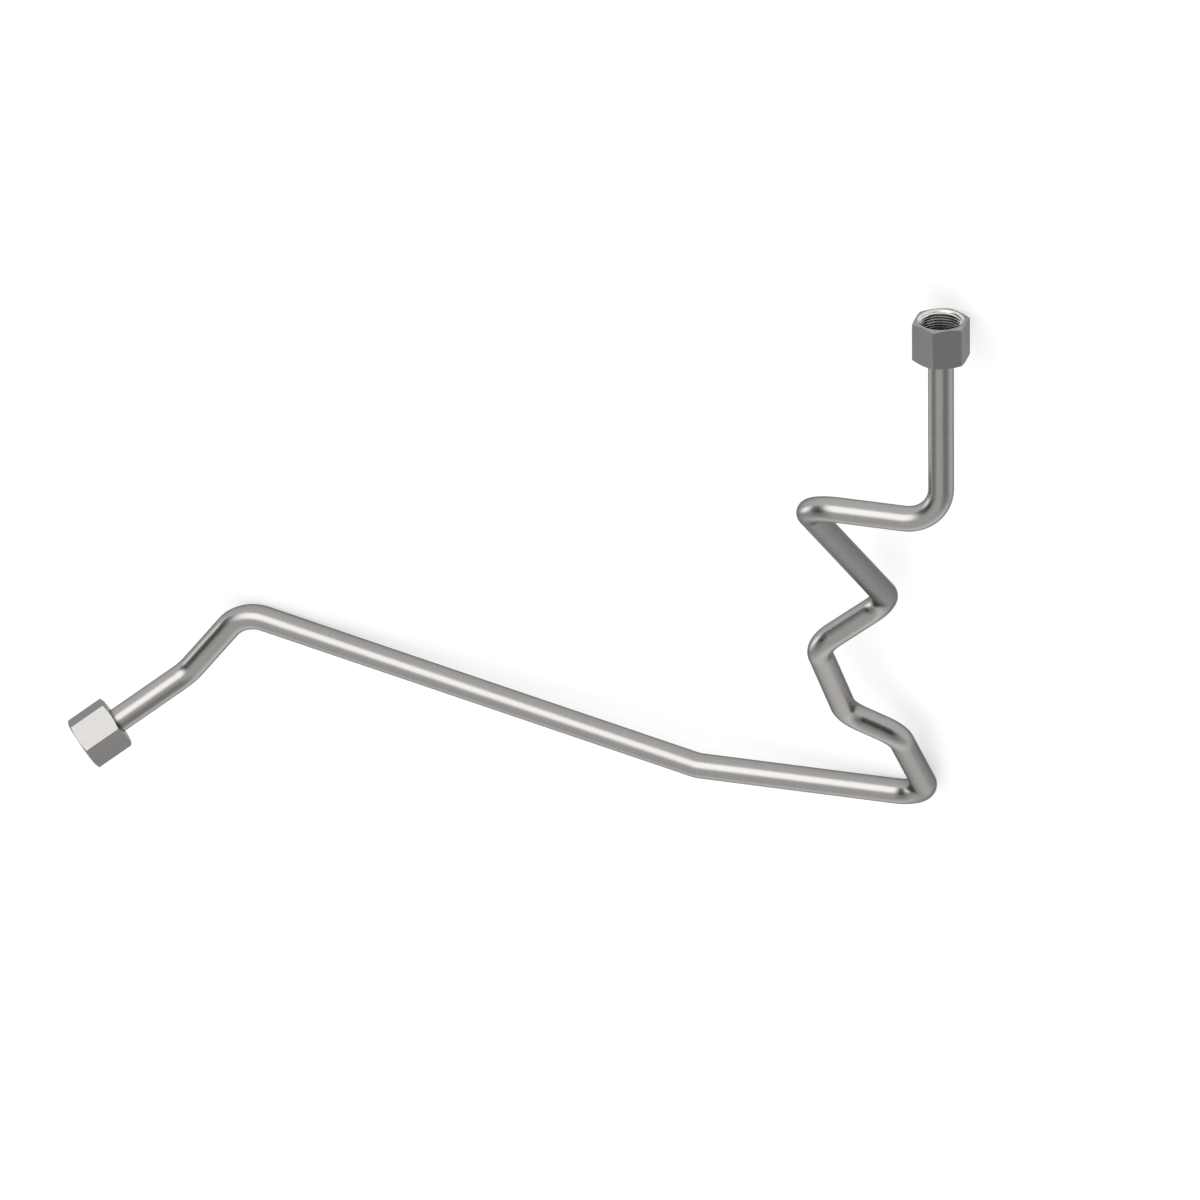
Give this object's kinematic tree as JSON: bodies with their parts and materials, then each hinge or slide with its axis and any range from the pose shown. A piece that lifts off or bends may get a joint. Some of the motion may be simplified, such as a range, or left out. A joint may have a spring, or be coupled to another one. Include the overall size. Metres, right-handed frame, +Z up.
{
  "type": "bent tube assembly",
  "caption": "Rigid steel tube bent in several planes, with flared ends and a loose hexagonal union nut captive at each end, for joining two fittings.",
  "frame": {"origin": "middle of the part's box, on the floor that it lies on", "axes": "+Z up with the tube lying on two of its bends and the upper nut, +X along the foot run towards the lower nut, +Y from the upper nut towards the foot run"},
  "size_m": [0.4038, 0.3846, 0.0619],
  "materials": {
    "tube_steel": "satin drawn steel",
    "nut_steel": "satin machined steel"
  },
  "bodies": {
    "tube": {"bent_tube": "tube_steel"},
    "upper_nut": {"upper_nut": "nut_steel"},
    "lower_nut": {"lower_nut": "nut_steel"}
  },
  "joints": [
    {"name": "upper_nut_swivel", "type": "hinge", "parent": "tube", "child": "upper_nut", "pos_m": [-0.19176, -0.17899, 0.01395], "axis": [0.0446, -0.8426, -0.5366], "continuous": true},
    {"name": "lower_nut_swivel", "type": "hinge", "parent": "tube", "child": "lower_nut", "pos_m": [0.18789, 0.17994, 0.04859], "axis": [0.677, 0.2168, 0.7033], "continuous": true}
  ]
}
